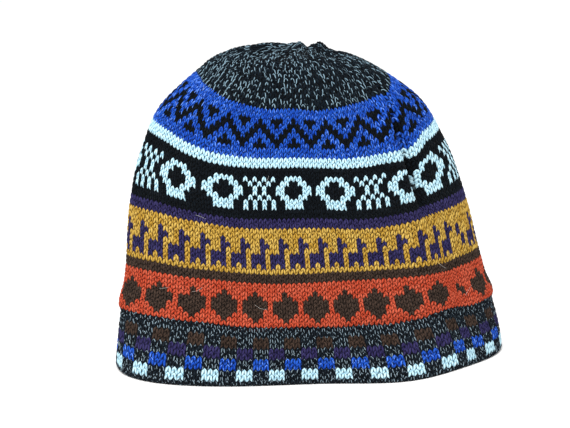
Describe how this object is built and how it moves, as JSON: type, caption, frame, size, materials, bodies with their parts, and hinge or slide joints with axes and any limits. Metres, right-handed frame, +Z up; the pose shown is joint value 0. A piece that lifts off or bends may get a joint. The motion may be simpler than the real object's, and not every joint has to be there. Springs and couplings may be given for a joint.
{
  "type": "knitted alpaca wool beanie hat",
  "caption": "Knitted beanie with stranded colour bands, a turned double hem and a gathered crown, standing open on its rim.",
  "frame": {"origin": "centre of the hat's footprint on the surface that its rim rests on", "axes": "+X along the long axis of the opening, towards the side with the pleat; the front faces -Y; +Z up through the crown"},
  "size_m": [0.2245, 0.1271, 0.1796],
  "materials": {
    "hem_wool": "soft charcoal marl knit with small coloured checks",
    "patterned_wool": "stranded knit in orange, brown, gold, purple, black, white and blue bands",
    "crown_wool": "soft charcoal marl knit, gathered to a point"
  },
  "bodies": {
    "root": {"hem_band": "hem_wool", "body": "patterned_wool", "crown": "crown_wool"}
  },
  "joints": []
}
